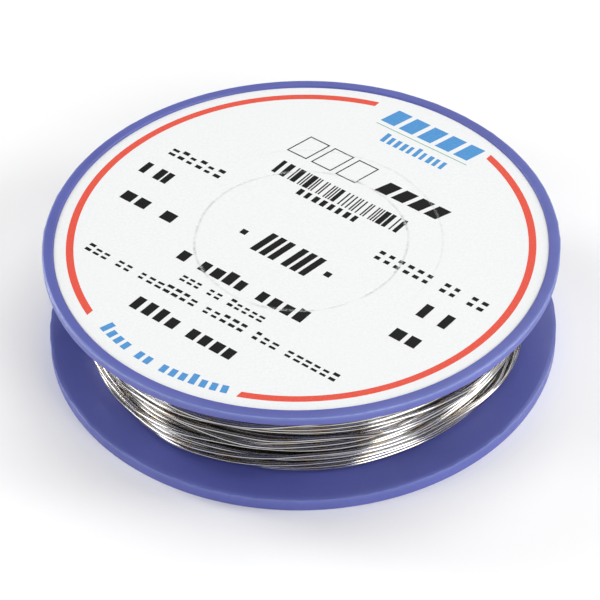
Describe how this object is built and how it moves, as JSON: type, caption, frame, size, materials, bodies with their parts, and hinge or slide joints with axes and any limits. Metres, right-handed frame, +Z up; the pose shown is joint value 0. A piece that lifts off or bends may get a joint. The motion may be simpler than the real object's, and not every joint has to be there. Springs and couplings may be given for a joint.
{
  "type": "solder wire spool",
  "caption": "Flanged plastic reel of fine flux-cored solder wire, lying flat, with a round paper label over its bore.",
  "frame": {"origin": "centre of the reel's underside, the face it lies on", "axes": "+Z up the reel's axis, from the lower flange to the label; +X to the right and +Y to the back as the reel is usually seen"},
  "size_m": [0.065, 0.065, 0.0156],
  "materials": {
    "blue_plastic": "satin, as moulded",
    "label_paper": "matt coated paper",
    "solder": "bright drawn tin-lead alloy",
    "flux": "amber resin"
  },
  "bodies": {
    "root": {"spool_body": "blue_plastic", "upper_flange": "blue_plastic", "paper_label": "label_paper", "solder_winding": "solder", "wire_start_tail": "solder", "wire_free_end": "solder", "flux_core": "flux"}
  },
  "joints": []
}
